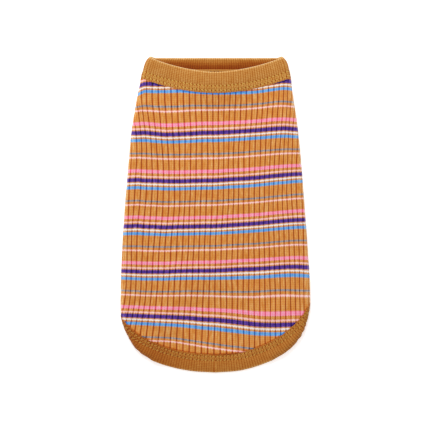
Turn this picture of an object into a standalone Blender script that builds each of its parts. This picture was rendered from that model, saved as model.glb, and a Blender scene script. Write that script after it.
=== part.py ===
"""A small dog's tank top in striped rib knit, laid flat on its belly with the back up.

The garment is a flattened tube of cloth. +X is to the right as seen from above, +Y is
towards the neck and +Z is up, with the origin under the middle of the whole piece. The
cloth is placed by two measures: its girth, which runs round the tube from the middle of
the back, and its height, which is the Y of the point. Every piece reads the same
function for its place, so the cut edges meet in the same seams.
"""

import math
from collections import namedtuple

import bmesh
import bpy

MM = 0.001

# Driving sizes of the cloth, in millimetres.
WALL = 1.9                 # knitted cloth, and the whole of the underside
GROOVE_WALL = 1.45         # cloth between two ribs on the outer side
RIB_RISE = 0.65            # a rib stands this far above its groove
BAND_WALL = 2.3            # folded cloth of the neck and hem bands
SEAM_GAP = 0.3             # clear space between two pieces
FOLDED_SEAM_GAP = 0.5      # where the slanting hem seam goes round a fold

# How the two layers lie.
LAYER_STEP = 2.3           # from the lower layer's middle to the upper layer's
SIDE_PUFF = 2.0            # extra height of the cloth beside a fold
SIDE_PUFF_REACH = 30.0
FOLD_HALF_WIDTH = 2.8      # of the rounded fold, on the middle of the cloth
FOLD_OUTER = WALL / 2 + 0.2     # from the middle of the cloth to the outermost point
UPPER_FACING = (-0.7, 0.2)      # a face turns from plain to ribbed between these slopes
NECK_GAPE = 5.2            # how far the neck stands open
NECK_GAPE_HALF_WIDTH = 48.0
NECK_GAPE_Y = (84.0, 110.0)
TAIL_DROP_CENTRE_Y = -137.0
TAIL_DROP_HALF = (60.0, 88.0)   # where the back starts to sink past the belly's hem
TAIL_DROP_INNER = 0.62          # share of that at which it lies on the surface

# Bands.
NECK_SEAM_Y = 103.0        # middle of the back
NECK_SEAM_RISE = 13.0
NECK_SEAM_HALF_WIDTH = 64.0
NECK_SEAM_CURVE = 1.9
NECK_EDGE_Y = 121.4
NECK_EDGE_RISE = 13.25
NECK_EDGE_CURVE = 1.65
NECK_FRONT_EDGE_Y = 133.4
NECK_CORNER_TURN = 0.56    # the corner at a fold ends here, on the underside
LEG_BAND_WIDTH = 8.0

# Leg holes, on the underside, at the seams between back and belly.
LEG_CENTRE = (40.0, 58.0)
LEG_HALF = (20.0, 38.0)
LEG_LEAN = 0.16            # the hole and the seam come closer to the middle at the neck
LEG_STEPS = 10

# Ribs.
RIB_SHAPE = ((0.0, 0.0), (0.24, 1.0), (0.76, 1.0))   # share of the pitch, height
FOLD_RIB_SHAPE = ((0.0, 0.0), (0.24, 1.0), (0.5, 1.0), (0.76, 1.0))
FOLD_RIBS = 8              # ribs of each side that have the finer shape
PLAIN = 0.5                # height of cloth with no ribs, as a share of a rib

# How finely the walls are divided.
BELLY_STRIPS = 10
COURSES_AT_CHEST = 3
COURSES_AT_BELLY = 7
FLAP_STEPS = (1.6, 3.2, 4.8, 8.0, 14.0, 60.0)   # plain lines past the last rib, at most

# The two folded sides: how far each lies from the middle, at a height.
Fold = namedtuple("Fold", "y left right")
FOLDS = [
    Fold(-136.0, 46.0, 42.0),
    Fold(-122.6, 56.6, 51.8),
    Fold(-119.4, 61.8, 57.4),
    Fold(-116.6, 65.4, 61.2),
    Fold(-113.7, 68.2, 64.6),
    Fold(-110.7, 70.3, 67.5),
    Fold(-106.0, 73.1, 71.3),
    Fold(-98.4, 77.1, 75.4),
    Fold(-88.2, 80.3, 78.7),
    Fold(-79.0, 80.9, 80.5),
    Fold(-62.6, 80.7, 80.7),
    Fold(-31.9, 79.6, 78.9),
    Fold(-1.3, 77.8, 76.7),
    Fold(29.4, 75.4, 74.3),
    Fold(49.8, 73.6, 72.6),
    Fold(70.3, 71.7, 70.6),
    Fold(85.6, 69.3, 68.6),
    Fold(100.9, 66.6, 66.2),
    Fold(111.1, 64.4, 64.8),
    Fold(116.3, 63.6, 64.4),
    Fold(124.0, 61.4, 62.6),
    Fold(131.6, 58.6, 60.0),
    Fold(134.65, 55.9, 57.1),
]

# The seam of the hem band: its height at a girth, and the width of the band there.
Hem = namedtuple("Hem", "girth left right width")
HEMS = [
    Hem(0.0, -119.2, -119.2, 15.5),
    Hem(20.0, -117.8, -117.4, 15.5),
    Hem(40.0, -113.5, -111.3, 15.2),
    Hem(55.0, -107.5, -103.3, 14.6),
    Hem(65.0, -102.2, -95.2, 13.9),
    Hem(72.0, -96.6, -88.2, 13.2),
    Hem(78.0, -89.4, -79.2, 13.2),
    Hem(84.0, -79.8, -69.4, 13.4),
    Hem(94.0, -66.0, -58.4, 13.8),
    Hem(106.0, -52.6, -48.0, 14.4),
    Hem(120.0, -40.6, -38.4, 15.0),
    Hem(138.0, -30.6, -30.0, 15.0),
    Hem(152.0, -26.9, -26.8, 15.0),
    Hem(161.0, -26.3, -26.3, 15.0),
    Hem(170.0, -26.9, -26.8, 15.0),
]

# The grooves between the ribs: the girth of every few of them, at a height. They run closer
# together round the chest and lean outwards towards the tail.
Groove = namedtuple("Groove", "number neck chest middle waist loin tail end")
GROOVES = [
    Groove(-17, -78.5, -74.9, -77.6, -78.0, -80.7, -86.5, -88.5),
    Groove(-15, -69.9, -67.1, -68.6, -71.3, -72.5, -78.0, -80.0),
    Groove(-12, -58.5, -54.5, -54.2, -56.6, -59.8, -64.0, -66.0),
    Groove(-8, -38.1, -35.4, -34.8, -37.5, -40.0, -43.4, -44.5),
    Groove(-4, -16.9, -16.4, -16.7, -18.3, -20.5, -21.9, -22.5),
    Groove(0, 2.8, 2.8, 2.0, 0.7, -0.6, -0.9, -1.0),
    Groove(4, 21.7, 20.2, 19.8, 19.0, 19.2, 19.0, 19.0),
    Groove(8, 40.7, 38.1, 37.8, 37.2, 37.6, 38.3, 38.5),
    Groove(12, 58.2, 55.2, 52.9, 54.3, 55.2, 55.4, 55.9),
    Groove(15, 66.8, 65.6, 64.8, 66.8, 68.3, 68.5, 69.0),
    Groove(18, 77.5, 77.0, 77.4, 78.8, 78.8, 79.5, 80.0),
]
GrooveHeight = namedtuple("GrooveHeight", "y name")
GROOVE_HEIGHTS = [
    GrooveHeight(-120.0, "end"),
    GrooveHeight(-103.0, "tail"),
    GrooveHeight(-70.0, "loin"),
    GrooveHeight(-20.9, "waist"),
    GrooveHeight(17.0, "middle"),
    GrooveHeight(57.9, "chest"),
    GrooveHeight(97.5, "neck"),
]

# Cross-section of a band: share of its width from the seam, share of its wall. The rounded
# free edge is given, and steps across the width carry a band smoothly round a fold.
BAND_EDGE = ((0.92, 1.0), (1.0, 0.62), (0.98, 0.15), (0.9, 0.0))
NECK_BAND_STEPS = 2
HEM_BAND_STEPS = 8
NECK_STATIONS = ((0.44, 12), (0.56, 12), (1.0, 8))   # up to a turn, in steps
HEM_STATIONS = ((50.0, 6), (74.0, 15), (88.0, 18), (100.0, 5))   # up to a girth, in steps
HEM_BELLY_STEPS = 6
SETTLE_ROUNDS = 16
LEG_BAND_SECTION = ((0.0, 0.0), (0.0, 1.0), (0.85, 1.0), (1.0, 0.6), (1.0, 0.2), (0.5, 0.0))

OCHRE = (0.70, 0.31, 0.07, 1.0)
BAND_OCHRE = (0.55, 0.25, 0.05, 1.0)


def ease(low, high, at):
    """Go smoothly from 0 at low to 1 at high."""
    share = min(1.0, max(0.0, (at - low) / (high - low)))
    return share * share * (3.0 - 2.0 * share)


def read_table(table, key, column, at):
    """Read a column of a table along a smooth curve through its rows."""
    keys = [getattr(row, key) for row in table]
    values = [getattr(row, column) for row in table]
    at = min(keys[-1], max(keys[0], at))
    right = next(i for i in range(1, len(keys)) if at <= keys[i])
    left = right - 1

    def slope(i):
        before, after = max(i - 1, 0), min(i + 1, len(keys) - 1)
        return (values[after] - values[before]) / (keys[after] - keys[before])

    span = keys[right] - keys[left]
    t = (at - keys[left]) / span
    return (values[left] * (2 * t ** 3 - 3 * t ** 2 + 1)
            + values[right] * (3 * t ** 2 - 2 * t ** 3)
            + slope(left) * span * (t ** 3 - 2 * t ** 2 + t)
            + slope(right) * span * (t ** 3 - t ** 2))


def fold_at(y, side):
    """Distance of the folded side from the middle."""
    return read_table(FOLDS, "y", "left" if side < 0 else "right", y)


def hem_seam(girth):
    """Height of the hem band's seam."""
    return read_table(HEMS, "girth", "left" if girth < 0 else "right", abs(girth))


def hem_slope(girth):
    """Slope of that seam, measured outwards from the middle of the back."""
    step = 0.5
    side = -1 if girth < 0 else 1
    near, far = max(abs(girth) - step, 0.0), abs(girth) + step
    return (hem_seam(side * far) - hem_seam(side * near)) / (far - near)


def neck_seam(girth):
    """Height of the neck band's seam."""
    share = min(1.0, abs(girth) / NECK_SEAM_HALF_WIDTH)
    return NECK_SEAM_Y + NECK_SEAM_RISE * share ** NECK_SEAM_CURVE


def upper_middle(x, y, flat_end):
    """Height above the surface of the middle of the upper layer."""
    puff = SIDE_PUFF * ease(flat_end - SIDE_PUFF_REACH, flat_end, abs(x))
    across = max(0.0, 1.0 - (x / NECK_GAPE_HALF_WIDTH) ** 2) ** 2
    gape = NECK_GAPE * across * ease(*NECK_GAPE_Y, y)
    from_tail = math.hypot(x / TAIL_DROP_HALF[0], (y - TAIL_DROP_CENTRE_Y) / TAIL_DROP_HALF[1])
    lift = ease(TAIL_DROP_INNER, 1.0, from_tail)
    return WALL / 2 + lift * (LAYER_STEP + puff + gape)


def fold_shape(y, side):
    """The flat part's end, the fold's middle height, its half height and half its arc."""
    flat_end = fold_at(y, side) - FOLD_OUTER - FOLD_HALF_WIDTH
    top = upper_middle(flat_end, y, flat_end)
    half = (top - WALL / 2) / 2
    arc = math.pi * math.sqrt((FOLD_HALF_WIDTH ** 2 + half ** 2) / 2) / 2
    return flat_end, WALL / 2 + half, half, arc


def place(girth, y):
    """Middle of the cloth and the way that it faces, as x, z, x of normal, z of normal."""
    side = -1 if girth < 0 else 1
    flat_end, middle, half, arc = fold_shape(y, side)
    along = abs(girth)
    if along <= flat_end:
        return side * along, upper_middle(along, y, flat_end), 0.0, 1.0
    if along < flat_end + 2 * arc:
        angle = math.pi * (along - flat_end) / (2 * arc)
        x = flat_end + FOLD_HALF_WIDTH * math.sin(angle)
        z = middle + half * math.cos(angle)
        normal_x = half * math.sin(angle)
        normal_z = FOLD_HALF_WIDTH * math.cos(angle)
        length = math.hypot(normal_x, normal_z)
        return side * x, z, side * normal_x / length, normal_z / length
    return side * (2 * flat_end + 2 * arc - along), WALL / 2, 0.0, -1.0


def girth_below(x, y, side):
    """Girth of a point of the underside, x from the middle."""
    flat_end, _, _, arc = fold_shape(y, side)
    return 2 * flat_end + 2 * arc - x


def fold_girth(y, side):
    """Girth of the outermost line of a folded side."""
    flat_end, _, _, arc = fold_shape(y, side)
    return flat_end + arc


def on_cloth(girth, y, wall_share, rib=PLAIN, band=False):
    """A point of a wall, from 0 on its inner face to 1 on its outer face."""
    x, z, normal_x, normal_z = place(girth, y)
    upper = ease(*UPPER_FACING, normal_z)
    outside = BAND_WALL if band else GROOVE_WALL + RIB_RISE * rib
    wall = WALL + upper * (outside - WALL)
    out = wall * wall_share - WALL / 2
    return (x + normal_x * out, y, z + normal_z * out)


def leg_axis(y):
    """The line through a leg hole, and the seam above and below it."""
    return LEG_CENTRE[0] - LEG_LEAN * (y - LEG_CENTRE[1])


def leg_hole_share(y):
    """Half width of the leg hole at a height, as a share of its greatest."""
    share = (y - LEG_CENTRE[1]) / LEG_HALF[1]
    return math.sqrt(max(0.0, 1.0 - share * share))


def back_edge(y):
    """Distance from the middle of the back panel's edge on the underside."""
    return leg_axis(y) + max(SEAM_GAP / 2, LEG_HALF[0] * leg_hole_share(y))


def belly_edge(y):
    """Distance from the middle of the belly panel's edge."""
    return leg_axis(y) - max(SEAM_GAP / 2, LEG_HALF[0] * leg_hole_share(y))


def settle(curve, girth_at, start):
    """Height at which a line of the cloth crosses a seam, closed in on by halves."""
    y = start
    for _ in range(SETTLE_ROUNDS):
        y = 0.5 * (y + curve(girth_at(y)))
    return y


def neck_end(girth_at):
    """Where a line of a panel ends at the neck, just short of the band."""
    return settle(neck_seam, girth_at, NECK_SEAM_Y) - SEAM_GAP


def hem_end(girth_at):
    """Where a line of a panel ends at the hem, just short of the band."""
    y = settle(hem_seam, girth_at, HEMS[-1].left)
    slope = hem_slope(girth_at(y))
    gap = SEAM_GAP + (FOLDED_SEAM_GAP - SEAM_GAP) * ease(0.9, 1.5, slope)
    return y + gap * math.hypot(1.0, slope)


def course_shares(side):
    """Shares of a panel's length at which the courses of its underside edge lie."""
    def edge(y):
        return side * girth_below(leg_axis(y), y, side)

    top, bottom = neck_end(edge), hem_end(edge)
    leg_top, leg_bottom = LEG_CENTRE[1] + LEG_HALF[1], LEG_CENTRE[1] - LEG_HALF[1]
    heights = [top + (leg_top - top) * i / COURSES_AT_CHEST for i in range(COURSES_AT_CHEST)]
    for i in range(LEG_STEPS + 1):
        heights.append(LEG_CENTRE[1] + LEG_HALF[1] * math.cos(math.pi * i / LEG_STEPS))
    for i in range(1, COURSES_AT_BELLY + 1):
        heights.append(leg_bottom + (bottom - leg_bottom) * i / COURSES_AT_BELLY)
    return [(top - y) / (top - bottom) for y in heights]


Spot = namedtuple("Spot", "y girth")


def rib_line(rib):
    """A line that runs along the ribs, as a function from a height to a girth."""
    spots = [Spot(mark.y, read_table(GROOVES, "number", mark.name, rib))
             for mark in GROOVE_HEIGHTS]
    return lambda y: read_table(spots, "y", "girth", y)


def make_object(name, mesh, color):
    """Close the mesh, point its faces out and give it a cloth of its own."""
    bmesh.ops.recalc_face_normals(mesh, faces=mesh.faces)
    data = bpy.data.meshes.new(name)
    mesh.to_mesh(data)
    mesh.free()
    data.shade_smooth()
    cloth = bpy.data.materials.new(name + "_cloth")
    cloth.use_nodes = True
    shader = cloth.node_tree.nodes["Principled BSDF"]
    shader.inputs["Base Color"].default_value = color
    shader.inputs["Roughness"].default_value = 0.9
    shader.inputs["Metallic"].default_value = 0.0
    data.materials.append(cloth)
    piece = bpy.data.objects.new(name, data)
    bpy.context.collection.objects.link(piece)
    return piece


def skin_rows(mesh, rows):
    """Join rows of vertices with quads."""
    for upper, lower in zip(rows, rows[1:]):
        for i in range(len(upper) - 1):
            mesh.faces.new((upper[i], upper[i + 1], lower[i + 1], lower[i]))


def close_edge(mesh, outer, inner, matches):
    """Join the outer edge of a wall to its inner edge, which has fewer points."""
    for i in range(len(inner) - 1):
        first, last = matches[i], matches[i + 1]
        for j in range(first, last):
            mesh.faces.new((inner[i], outer[j], outer[j + 1]))
        mesh.faces.new((inner[i], outer[last], inner[i + 1]))


def make_wall(name, lines, plain_lines, color):
    """Build a panel from its lines, each a list of outer and inner points.

    The inner face is plain and takes only the lines whose places are in plain_lines.
    """
    mesh = bmesh.new()
    scaled = [[[tuple(v * MM for v in p) for p in face] for face in line] for line in lines]
    outer = [[mesh.verts.new(p) for p in line[0]] for line in scaled]
    inner = [[mesh.verts.new(p) for p in scaled[i][1]] for i in plain_lines]
    skin_rows(mesh, outer)
    skin_rows(mesh, inner)
    for end in (0, -1):
        close_edge(mesh, [line[end] for line in outer], [line[end] for line in inner], plain_lines)
        skin_rows(mesh, [outer[end], inner[end]])
    return make_object(name, mesh, color)


def make_ring(name, sections, color):
    """Build a closed band from its cross-sections."""
    mesh = bmesh.new()
    loops = [[mesh.verts.new([v * MM for v in p]) for p in section] for section in sections]
    for i, loop in enumerate(loops):
        ahead = loops[(i + 1) % len(loops)]
        for j in range(len(loop)):
            k = (j + 1) % len(loop)
            mesh.faces.new((loop[j], loop[k], ahead[k], ahead[j]))
    return make_object(name, mesh, color)


def panel_line(girth_at, shares, rib):
    """Outer and inner points of one line of a panel, from the neck to the hem."""
    top, bottom = neck_end(girth_at), hem_end(girth_at)
    heights = [top + (bottom - top) * share for share in shares]
    outer = [on_cloth(girth_at(y), y, 1.0, rib) for y in heights]
    inner = [on_cloth(girth_at(y), y, 0.0, rib) for y in heights]
    return outer, inner


def make_back_panel():
    """The back, which wraps round both folded sides to the seams of the underside."""
    first, last = GROOVES[0].number, GROOVES[-1].number
    ribs = []
    for i in range(first, last):
        at_fold = i < first + FOLD_RIBS or i >= last - FOLD_RIBS
        for share, height in FOLD_RIB_SHAPE if at_fold else RIB_SHAPE:
            ribs.append((i + share, height))
    ribs.append((last, RIB_SHAPE[0][1]))

    def flap(side, step):
        outermost = rib_line(first if side < 0 else last)
        share = (step + 1) / len(FLAP_STEPS)

        def girth_at(y):
            start = abs(outermost(y))
            room = girth_below(back_edge(y), y, side) - start
            return side * (start + min(FLAP_STEPS[step], room * share))
        return girth_at

    flaps = range(len(FLAP_STEPS))
    lines = [(flap(-1, step), PLAIN) for step in reversed(flaps)]
    lines += [(rib_line(rib), height) for rib, height in ribs]
    lines += [(flap(1, step), PLAIN) for step in flaps]
    left, right = course_shares(-1), course_shares(1)
    last_line = len(lines) - 1
    walls = []
    for i, (girth_at, height) in enumerate(lines):
        across = i / last_line
        shares = [a + (b - a) * across for a, b in zip(left, right)]
        walls.append(panel_line(girth_at, shares, height))
    step = len(RIB_SHAPE)
    near_fold = len(FLAP_STEPS) + FOLD_RIBS * len(FOLD_RIB_SHAPE)
    plain = [i for i in range(len(lines)) if i <= near_fold or i >= last_line - near_fold
             or (i - near_fold) % step == 0]
    make_wall("back_panel", walls, plain, OCHRE)


def make_belly_panel():
    """The belly, between the leg holes and down to the short hem below."""
    left, right = course_shares(-1), course_shares(1)
    walls = []
    for i in range(BELLY_STRIPS + 1):
        across = 2 * i / BELLY_STRIPS - 1.0
        side = -1 if across < 0 else 1

        def girth_at(y, across=across, side=side):
            return side * girth_below(abs(across) * belly_edge(y), y, side)

        shares = [a + (b - a) * (across + 1) / 2 for a, b in zip(left, right)]
        walls.append(panel_line(girth_at, shares, PLAIN))
    make_wall("belly_panel", walls, list(range(len(walls))), OCHRE)


def ring_girth(turn, y):
    """Girth of a point of a ring: a turn of 0.5 is a fold and 1 the belly's middle."""
    side = -1 if turn < 0 else 1
    fold = fold_girth(y, side)
    if abs(turn) <= 0.5:
        return side * 2 * abs(turn) * fold
    return side * (fold + (2 * abs(turn) - 1) * (girth_below(0.0, y, side) - fold))


def stations(spans):
    """Places from 0 on, each span divided evenly up to its end."""
    places = [0.0]
    for end, steps in spans:
        start = places[-1]
        places += [start + (end - start) * i / steps for i in range(1, steps + 1)]
    return places


def band_section(steps):
    """Cross-section of a band with a number of steps across its width."""
    shares = [BAND_EDGE[0][0] * i / steps for i in range(steps)]
    outer = [(share, 1.0) for share in shares]
    inner = [(share, 0.0) for share in reversed(shares)]
    return outer + list(BAND_EDGE) + inner


def neck_edge(turn):
    """Height of the neck's free edge."""
    if abs(turn) <= 0.5:
        return NECK_EDGE_Y + NECK_EDGE_RISE * (2 * abs(turn)) ** NECK_EDGE_CURVE
    corner = NECK_EDGE_Y + NECK_EDGE_RISE - NECK_FRONT_EDGE_Y
    return NECK_FRONT_EDGE_Y + corner * (1.0 - ease(0.5, NECK_CORNER_TURN, abs(turn)))


def make_neck_band():
    """The ring of folded cloth round the neck."""
    half = stations(NECK_STATIONS)
    turns = [-turn for turn in reversed(half[1:-1])] + half
    sections = []
    for turn in turns:
        seam = settle(neck_seam, lambda y, turn=turn: ring_girth(turn, y), NECK_SEAM_Y)
        section = []
        for share, wall in band_section(NECK_BAND_STEPS):
            y = seam + (neck_edge(turn) - seam) * share
            section.append(on_cloth(ring_girth(turn, y), y, wall, band=True))
        sections.append(section)
    make_ring("neck_band", sections, BAND_OCHRE)


def make_hem_band():
    """The ring of folded cloth round the long back hem and the short belly hem."""
    girths = stations(HEM_STATIONS)
    belly = [i / HEM_BELLY_STEPS for i in range(1, HEM_BELLY_STEPS + 1)]
    sections = []
    for side in (-1, 1):
        end = girth_below(0.0, HEMS[-1].left, side)
        half = girths + [girths[-1] + (end - girths[-1]) * share for share in belly]
        half = list(reversed(half[1:-1])) if side < 0 else half
        for along in half:
            girth = side * along
            slope = hem_slope(girth)
            length = math.hypot(1.0, slope)
            width = read_table(HEMS, "girth", "width", along)
            section = []
            for share, wall in band_section(HEM_BAND_STEPS):
                out = width * share / length
                point = on_cloth(side * (along + slope * out), hem_seam(girth) - out, wall,
                                 band=True)
                section.append(point)
            sections.append(section)
    make_ring("hem_band", sections, BAND_OCHRE)


def make_leg_band(name, side):
    """The ring round a leg hole, flat on the underside."""
    sections = []
    for i in range(2 * LEG_STEPS):
        angle = math.pi * i / LEG_STEPS
        section = []
        for share, wall in LEG_BAND_SECTION:
            inset = SEAM_GAP + LEG_BAND_WIDTH * share
            y = LEG_CENTRE[1] + (LEG_HALF[1] - inset) * math.cos(angle)
            x = leg_axis(y) + (LEG_HALF[0] - inset) * math.sin(angle)
            section.append((side * x, y, WALL * (1.0 - wall)))
        sections.append(section)
    make_ring(name, sections, BAND_OCHRE)


def clear_scene():
    """Remove what a new file starts with."""
    for item in list(bpy.data.objects):
        bpy.data.objects.remove(item, do_unlink=True)


def main():
    """Make every piece of the garment."""
    clear_scene()
    make_back_panel()
    make_belly_panel()
    make_neck_band()
    make_hem_band()
    make_leg_band("leg_band_left", -1)
    make_leg_band("leg_band_right", 1)


main()
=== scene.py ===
"""Looks of a small dog's striped tank top, laid flat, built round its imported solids.

The cloth is placed by two measures in millimetres, as in the solids: its girth, which runs
round the flattened tube from the middle of the back, and its height, which is the Y of the
point. Every cloth piece starts as a flat grid, is moved to the middle of the cloth by those
two measures, gets its wall, and then has its outer points moved out to the finer form.
"""

from collections import namedtuple
from functools import partial

import bpy
import numpy as np
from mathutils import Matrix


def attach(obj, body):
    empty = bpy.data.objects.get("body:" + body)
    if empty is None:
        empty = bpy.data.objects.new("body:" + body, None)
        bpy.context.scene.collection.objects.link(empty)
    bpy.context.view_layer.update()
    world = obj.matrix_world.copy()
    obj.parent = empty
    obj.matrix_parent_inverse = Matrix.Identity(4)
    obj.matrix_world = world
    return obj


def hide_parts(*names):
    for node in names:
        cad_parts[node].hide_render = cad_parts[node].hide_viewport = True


bl_info = {
    "name": "Dog Tank Top",
    "version": (1, 0, 0),
    "blender": (4, 5, 0),
    "location": "View3D > Sidebar > Tank Top",
    "description": "Makes a small dog's striped rib knit tank top and its stage",
    "category": "Object",
}


def make_table(fields, *rows):
    """Rows of values, whose columns have names."""
    kind = namedtuple("Row", fields)
    return [kind(*row) for row in rows]


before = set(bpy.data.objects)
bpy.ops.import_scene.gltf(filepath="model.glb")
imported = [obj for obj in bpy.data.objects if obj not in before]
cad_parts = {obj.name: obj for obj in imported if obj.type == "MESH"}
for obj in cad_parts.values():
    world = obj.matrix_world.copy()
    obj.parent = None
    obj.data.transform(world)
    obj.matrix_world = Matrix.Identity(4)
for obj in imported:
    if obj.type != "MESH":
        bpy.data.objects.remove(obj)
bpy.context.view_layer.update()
BODY = "root"
MM = 0.001

# Sizes of the cloth that the solids have too, in millimetres.
WALL = 1.9
BAND_WALL = 2.3
SEAM_GAP = 0.3
LAYER_STEP = 2.3
SIDE_PUFF = 2.0
SIDE_PUFF_REACH = 30.0
FOLD_HALF_WIDTH = 2.8
FOLD_OUTER = WALL / 2 + 0.2
UPPER_FACING = (-0.7, 0.2)  # Z of its normal, between which a point becomes one of the upper side
NECK_GAPE = 5.2
NECK_GAPE_HALF_WIDTH = 48.0
NECK_GAPE_Y = (84.0, 110.0)
TAIL_DROP_CENTRE_Y = -137.0
TAIL_DROP_HALF = (60.0, 88.0)
TAIL_DROP_INNER = 0.62
NECK_SEAM_Y = 103.0
NECK_SEAM_RISE = 13.0
NECK_SEAM_HALF_WIDTH = 64.0
NECK_SEAM_CURVE = 1.9
NECK_EDGE_Y = 121.4
NECK_EDGE_RISE = 13.25
NECK_EDGE_CURVE = 1.65
NECK_FRONT_EDGE_Y = 133.4
NECK_CORNER_TURN = 0.56
LEG_CENTRE = (40.0, 58.0)
LEG_HALF = (20.0, 38.0)
LEG_LEAN = 0.16
LEG_END_HALF = 0.1
LEG_BAND_WIDTH = 8.0
NECK_LENGTH, LEG_LENGTH = 250.0, 165.0
SETTLE_ROUNDS = 16
HEM_SAMPLES = 600

FOLDS = make_table(
    "y left right",
    (-136.0, 46.0, 42.0),
    (-122.6, 56.6, 51.8),
    (-119.4, 61.8, 57.4),
    (-116.6, 65.4, 61.2),
    (-113.7, 68.2, 64.6),
    (-110.7, 70.3, 67.5),
    (-106.0, 73.1, 71.3),
    (-98.4, 77.1, 75.4),
    (-88.2, 80.3, 78.7),
    (-79.0, 80.9, 80.5),
    (-62.6, 80.7, 80.7),
    (-31.9, 79.6, 78.9),
    (-1.3, 77.8, 76.7),
    (29.4, 75.4, 74.3),
    (49.8, 73.6, 72.6),
    (70.3, 71.7, 70.6),
    (85.6, 69.3, 68.6),
    (100.9, 66.6, 66.2),
    (111.1, 64.4, 64.8),
    (116.3, 63.6, 64.4),
    (124.0, 61.4, 62.6),
    (131.6, 58.6, 60.0),
    (134.65, 55.9, 57.1),
)
HEMS = make_table(
    "girth left right width",
    (0.0, -119.2, -119.2, 15.5),
    (20.0, -117.8, -117.4, 15.5),
    (40.0, -113.5, -111.3, 15.2),
    (55.0, -107.5, -103.3, 14.6),
    (65.0, -102.2, -95.2, 13.9),
    (72.0, -96.6, -88.2, 13.2),
    (78.0, -89.4, -79.2, 13.2),
    (84.0, -79.8, -69.4, 13.4),
    (94.0, -66.0, -58.4, 13.8),
    (106.0, -52.6, -48.0, 14.4),
    (120.0, -40.6, -38.4, 15.0),
    (138.0, -30.6, -30.0, 15.0),
    (152.0, -26.9, -26.8, 15.0),
    (161.0, -26.3, -26.3, 15.0),
    (170.0, -26.9, -26.8, 15.0),
)
# The grooves between the ribs: the girth of every few of them, at a height. They run closer
# together round the chest and lean outwards towards the tail.
GROOVES = make_table(
    "number neck chest middle waist loin tail end",
    (-17, -78.5, -74.9, -77.6, -78.0, -80.7, -86.5, -88.5),
    (-15, -69.9, -67.1, -68.6, -71.3, -72.5, -78.0, -80.0),
    (-12, -58.5, -54.5, -54.2, -56.6, -59.8, -64.0, -66.0),
    (-8, -38.1, -35.4, -34.8, -37.5, -40.0, -43.4, -44.5),
    (-4, -16.9, -16.4, -16.7, -18.3, -20.5, -21.9, -22.5),
    (0, 2.8, 2.8, 2.0, 0.7, -0.6, -0.9, -1.0),
    (4, 21.7, 20.2, 19.8, 19.0, 19.2, 19.0, 19.0),
    (8, 40.7, 38.1, 37.8, 37.2, 37.6, 38.3, 38.5),
    (12, 58.2, 55.2, 52.9, 54.3, 55.2, 55.4, 55.9),
    (15, 66.8, 65.6, 64.8, 66.8, 68.3, 68.5, 69.0),
    (18, 77.5, 77.0, 77.4, 78.8, 78.8, 79.5, 80.0),
)
GROOVE_HEIGHTS = {"end": -120.0, "tail": -103.0, "loin": -70.0, "waist": -20.9, "middle": 17.0,
                  "chest": 57.9, "neck": 97.5}
HIDDEN_RIB_PITCH = 4.4      # of the ribs past the last one that shows

# Finer form, which only the looks have.
CREST_WALL = 2.1            # cloth at the top of a rib
GROOVE_DEPTH = 0.95         # of the upper side's grooves
UNDER_GROOVE_DEPTH = 0.45   # on the underside, cut upwards from the surface that it lies on
GROOVE_HALF = 0.2           # half width of a groove, in ribs
WALE_DIP = 0.1              # between the two columns of stitches of a rib
WALE_DIP_REACH = (0.3, 0.5)     # from a groove, in ribs, between which it sinks
RIB_COLUMNS = (0.0, 0.06, 0.13, 0.24, 0.5, 0.76, 0.87, 0.94)
FLAP_COLUMNS = 60
SEAM_TUCK = 0.7             # a panel reaches this far under its bands
CHEST_COURSES, LEG_COURSES, BELLY_COURSES = 5, 34, 50
BELLY_COLUMNS = 110
RIB_DRIFT = 0.28            # a rib wanders this far to each side
RIB_WAVES = make_table("size length lag start", (1.0, 17.0, 0.55, 0.0), (0.6, 7.3, -0.8, 1.0))
COURSE_HEIGHT = 1.42        # of one row of stitches, of which a repeat of stripes has 28
REPEAT_HEIGHT = 39.8
GROOVE_SHADE = (0.025, 0.165)    # from its middle, in ribs, between which a groove's painted shade fades
RIM_REACH = (0.8, 4.5)      # from a fold, between which its painted rim light fades
RIM_LIGHT, RIM_FADE = 0.2, 0.6  # lighter by this painted rim light, and with so much less of a groove's painted shade
SEAM_COURSES = (0.9, 1.5, 2.3)  # extra courses beside the tucked ends, in millimetres
SEAM_SHADE = (0.6, 2.1)         # from a tucked end, between which its painted shade fades

BAND_WALE = 2.0             # pitch of the bands' fine ribs
BAND_WALE_RISE = 0.12
BAND_WALE_POINTS = 6
BAND_PUFF, PUFF_CURVE = 0.35, 0.7
# A band's cross-section: from the seam, as distances and wall shares; then shares of the width.
SECTION_START = ((0.0, 0.0), (0.0, 0.5), (0.15, 0.85), (0.5, 1.0))
SECTION_OUTER, SECTION_INNER = (0.56, 0.68, 0.8), (0.75, 0.55, 0.35, 0.15)
SECTION_EDGE_POINTS = 9
NEEDLE_ROWS = (2.6, 6.4)    # from the band's seam edge
HEM_NEEDLE_ROWS = (2.1, 5.3)
LEG_NEEDLE_ROWS = (1.8, 4.8)
NEEDLE_TROUGH = 0.2
NEEDLE_TROUGH_HALF = 0.75
STITCH_LENGTH = 3.1
THREAD_RADIUS = 0.22
THREAD_STEP = 0.35
NEEDLE_SWAY = 0.35          # of a stitch, which crosses its row at a slant
NEEDLE_DIP = 2.6            # radii that it dips at a hole
THREAD_LIFT, THREAD_SINK, LOOPER_LIFT = 0.9, 0.15, 0.6      # off the cloth, in radii
THREAD_CEILING = 1.0        # above the band's plain face, which no thread rises past
LOOPER_ROWS = ((7.1, 0.0), (6.45, 0.0), (5.18, 1.6))        # inside the neck, with their sways
LOOPER_THICKNESS = 1.8      # of the needle threads
PULLED_THREAD = 0.6         # of the thread's thickness, where it is pulled tighter
COVER_THICKNESS = 0.32      # of the thread that crosses between the needle rows
OPENING_SHADE = (0.28, 0.85)    # of the way to the far edge, between which the inside's painted shade fades
OPENING_END_SHADE = 0.45        # of the painted shade in the middle of the neck
OPENING_ENDS = (0.35, 0.85)     # of the way to the sides, between which it takes that shade
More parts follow.
